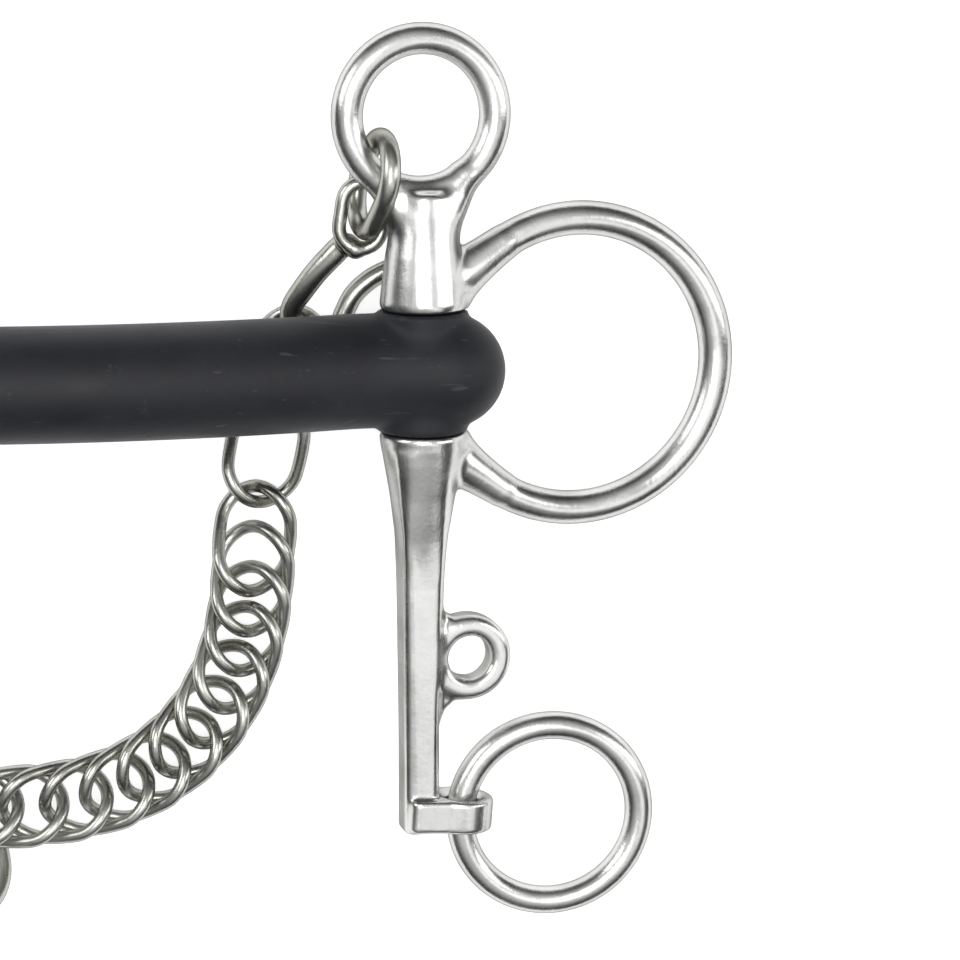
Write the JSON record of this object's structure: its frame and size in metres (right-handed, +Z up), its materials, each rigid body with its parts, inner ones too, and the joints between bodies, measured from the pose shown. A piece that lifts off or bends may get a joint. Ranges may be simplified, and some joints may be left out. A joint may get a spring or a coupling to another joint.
{
  "type": "curb bit",
  "caption": "Curb bit with an arched rubber mouthpiece, swivelling ringed cheeks, loose rein rings and a twisted double-link curb chain on two hooks.",
  "frame": {"origin": "middle of the bounding box at the table plane the bit lies on", "axes": "+X along the mouthpiece to the right cheek, +Y towards the headstall rings, +Z up from the table"},
  "size_m": [0.2568, 0.1498, 0.0352],
  "materials": {
    "steel": "satin-polished stainless steel, lightly brushed",
    "chain_steel": "duller stainless steel wire, darker in the crevices",
    "rubber": "matte charcoal moulded rubber with light scuffs"
  },
  "bodies": {
    "cheek_right": {"cheek_right": "steel"},
    "mouthpiece": {"mouth_core": "steel", "mouth_rubber": "rubber"},
    "cheek_left": {"cheek_left": "steel"},
    "rein_ring_right": {"rein_ring_right": "steel"},
    "rein_ring_left": {"rein_ring_left": "steel"},
    "oval_ring_right": {"oval_ring_right": "chain_steel"},
    "oval_ring_left": {"oval_ring_left": "chain_steel"},
    "hook_right": {"hook_right": "chain_steel"},
    "hook_left": {"hook_left": "chain_steel"},
    "fly_link": {"fly_link": "chain_steel"},
    "link_01": {"link_01": "chain_steel"},
    "link_02": {"link_02": "chain_steel"},
    "link_03": {"link_03": "chain_steel"},
    "link_04": {"link_04": "chain_steel"},
    "link_05": {"link_05": "chain_steel"},
    "link_06": {"link_06": "chain_steel"},
    "link_07": {"link_07": "chain_steel"},
    "link_08": {"link_08": "chain_steel"},
    "link_09": {"link_09": "chain_steel"},
    "link_10": {"link_10": "chain_steel"},
    "link_11": {"link_11": "chain_steel"},
    "link_12": {"link_12": "chain_steel"},
    "link_13": {"link_13": "chain_steel"},
    "link_14": {"link_14": "chain_steel"},
    "link_15": {"link_15": "chain_steel"},
    "link_16": {"link_16": "chain_steel"},
    "link_17": {"link_17": "chain_steel"},
    "link_18": {"link_18": "chain_steel"},
    "link_19": {"link_19": "chain_steel"},
    "link_20": {"link_20": "chain_steel"},
    "link_21": {"link_21": "chain_steel"},
    "link_22": {"link_22": "chain_steel"},
    "link_23": {"link_23": "chain_steel"},
    "link_24": {"link_24": "chain_steel"},
    "link_25": {"link_25": "chain_steel"},
    "link_26": {"link_26": "chain_steel"},
    "link_27": {"link_27": "chain_steel"}
  },
  "joints": [
    {"name": "mouthpiece_swivel", "type": "hinge", "parent": "cheek_right", "child": "mouthpiece", "pos_m": [0.0761, 0.0186, 0.0139], "axis": [0, 0.9958, 0.091], "range_deg": [0, 90]},
    {"name": "left_cheek_swivel", "type": "hinge", "parent": "mouthpiece", "child": "cheek_left", "pos_m": [-0.0761, 0.0186, 0.0139], "axis": [0, 0.9958, 0.091], "range_deg": [0, 45]},
    {"name": "rein_ring_right_swing", "type": "hinge", "parent": "cheek_right", "child": "rein_ring_right", "pos_m": [0.08265, -0.05636, 0.00563], "axis": [0.0682, 0.9948, 0.0762], "range_deg": [-75, 105]},
    {"name": "rein_ring_left_swing", "type": "hinge", "parent": "cheek_left", "child": "rein_ring_left", "pos_m": [-0.08265, -0.05636, 0.00563], "axis": [-0.0682, 0.9948, 0.0762], "range_deg": [-105, 75]},
    {"name": "oval_ring_right_swing", "type": "hinge", "parent": "cheek_right", "child": "oval_ring_right", "pos_m": [0.06845, 0.05007, 0.01843], "axis": [0, 0, 1], "range_deg": [-2, 1]},
    {"name": "hook_right_swing", "type": "hinge", "parent": "oval_ring_right", "child": "hook_right", "pos_m": [0.0657, 0.0434, 0.0115], "axis": [0, 0, 1], "range_deg": [-2, 1]},
    {"name": "link_01_hinge", "type": "hinge", "parent": "hook_right", "child": "link_01", "pos_m": [0.05914, 0.02269, 0.00419], "axis": [0, 0, 1], "range_deg": [-3, 3]},
    {"name": "link_02_hinge", "type": "hinge", "parent": "link_01", "child": "link_02", "pos_m": [0.05252, 0.01187, 0.00347], "axis": [0, 0, 1], "range_deg": [-4, 4]},
    {"name": "link_03_hinge", "type": "hinge", "parent": "link_02", "child": "link_03", "pos_m": [0.04951, -0.00279, 0.00347], "axis": [0, 0, -1], "range_deg": [-4, 4]},
    {"name": "link_04_hinge", "type": "hinge", "parent": "link_03", "child": "link_04", "pos_m": [0.04829, -0.0136, 0.00351], "axis": [0, 0, 1], "range_deg": [-4, 4]},
    {"name": "link_05_hinge", "type": "hinge", "parent": "link_04", "child": "link_05", "pos_m": [0.04765, -0.02033, 0.00365], "axis": [0, 0, -1], "range_deg": [-4, 4]},
    {"name": "link_06_hinge", "type": "hinge", "parent": "link_05", "child": "link_06", "pos_m": [0.04637, -0.02697, 0.00389], "axis": [0, 0, 1], "range_deg": [-4, 4]},
    {"name": "link_07_hinge", "type": "hinge", "parent": "link_06", "child": "link_07", "pos_m": [0.04416, -0.03334, 0.00421], "axis": [0, 0, -1], "range_deg": [-4, 2.5]},
    {"name": "link_08_hinge", "type": "hinge", "parent": "link_07", "child": "link_08", "pos_m": [0.04086, -0.03922, 0.00457], "axis": [0, 0, 1], "range_deg": [-1.5, 4]},
    {"name": "link_09_hinge", "type": "hinge", "parent": "link_08", "child": "link_09", "pos_m": [0.03647, -0.04433, 0.00493], "axis": [0, 0, -1], "range_deg": [-4, 1]},
    {"name": "link_10_hinge", "type": "hinge", "parent": "link_09", "child": "link_10", "pos_m": [0.03114, -0.04844, 0.00525], "axis": [0, 0, 1], "range_deg": [-1.5, 4]},
    {"name": "link_11_hinge", "type": "hinge", "parent": "link_10", "child": "link_11", "pos_m": [0.0251, -0.05143, 0.00549], "axis": [0, 0, -1], "range_deg": [-4, 3]},
    {"name": "link_12_hinge", "type": "hinge", "parent": "link_11", "child": "link_12", "pos_m": [0.01841, -0.05334, 0.00563], "axis": [0, 0, 1], "range_deg": [-4, 4]},
    {"name": "link_13_hinge", "type": "hinge", "parent": "link_12", "child": "link_13", "pos_m": [0.01116, -0.05435, 0.00567], "axis": [0, 0, -1], "range_deg": [-4, 4]},
    {"name": "link_14_hinge", "type": "hinge", "parent": "link_13", "child": "link_14", "pos_m": [0.00372, -0.05467, 0.00567], "axis": [0, 0, 1], "range_deg": [-4, 2.5]},
    {"name": "link_15_hinge", "type": "hinge", "parent": "link_14", "child": "link_15", "pos_m": [-0.00372, -0.05467, 0.00567], "axis": [0, 0, -1], "range_deg": [-4, 3.5]},
    {"name": "link_16_hinge", "type": "hinge", "parent": "link_15", "child": "link_16", "pos_m": [-0.01116, -0.05435, 0.00567], "axis": [0, 0, 1], "range_deg": [-4, 2]},
    {"name": "link_17_hinge", "type": "hinge", "parent": "link_16", "child": "link_17", "pos_m": [-0.01841, -0.05334, 0.00563], "axis": [0, 0, -1], "range_deg": [-4, 4]},
    {"name": "link_18_hinge", "type": "hinge", "parent": "link_17", "child": "link_18", "pos_m": [-0.0251, -0.05143, 0.00549], "axis": [0, 0, 1], "range_deg": [-4, 4]},
    {"name": "link_19_hinge", "type": "hinge", "parent": "link_18", "child": "link_19", "pos_m": [-0.03114, -0.04844, 0.00525], "axis": [0, 0, -1], "range_deg": [-4, 4]},
    {"name": "link_20_hinge", "type": "hinge", "parent": "link_19", "child": "link_20", "pos_m": [-0.03647, -0.04433, 0.00493], "axis": [0, 0, 1], "range_deg": [-4, 4]},
    {"name": "link_21_hinge", "type": "hinge", "parent": "link_20", "child": "link_21", "pos_m": [-0.04086, -0.03922, 0.00457], "axis": [0, 0, -1], "range_deg": [-4, 4]},
    {"name": "link_22_hinge", "type": "hinge", "parent": "link_21", "child": "link_22", "pos_m": [-0.04416, -0.03334, 0.00421], "axis": [0, 0, 1], "range_deg": [-4, 4]},
    {"name": "link_23_hinge", "type": "hinge", "parent": "link_22", "child": "link_23", "pos_m": [-0.04637, -0.02697, 0.00389], "axis": [0, 0, -1], "range_deg": [-4, 4]},
    {"name": "link_24_hinge", "type": "hinge", "parent": "link_23", "child": "link_24", "pos_m": [-0.04765, -0.02033, 0.00365], "axis": [0, 0, 1], "range_deg": [-4, 4]},
    {"name": "link_25_hinge", "type": "hinge", "parent": "link_24", "child": "link_25", "pos_m": [-0.04829, -0.0136, 0.00351], "axis": [0, 0, -1], "range_deg": [-4, 4]},
    {"name": "link_26_hinge", "type": "hinge", "parent": "link_25", "child": "link_26", "pos_m": [-0.04774, -0.00296, 0.00347], "axis": [0, 0, 1], "range_deg": [-4, 4]},
    {"name": "link_27_hinge", "type": "hinge", "parent": "link_26", "child": "link_27", "pos_m": [-0.04496, 0.01132, 0.00347], "axis": [0, 0, -1], "range_deg": [-4, 4]},
    {"name": "fly_link_swing", "type": "hinge", "parent": "link_14", "child": "fly_link", "pos_m": [-0.00123, -0.06216, 0.00899], "axis": [0.656, 0.429, 0.621], "range_deg": [-90, 90]},
    {"name": "oval_ring_left_swing", "type": "hinge", "parent": "cheek_left", "child": "oval_ring_left", "pos_m": [-0.06845, 0.05007, 0.01843], "axis": [-0.9505, -0.0811, -0.2998], "range_deg": [-3, 0]},
    {"name": "hook_left_swing", "type": "hinge", "parent": "oval_ring_left", "child": "hook_left", "pos_m": [-0.0657, 0.0434, 0.0115], "axis": [0.1438, 0.7408, -0.6561], "range_deg": [-55, 3]}
  ]
}
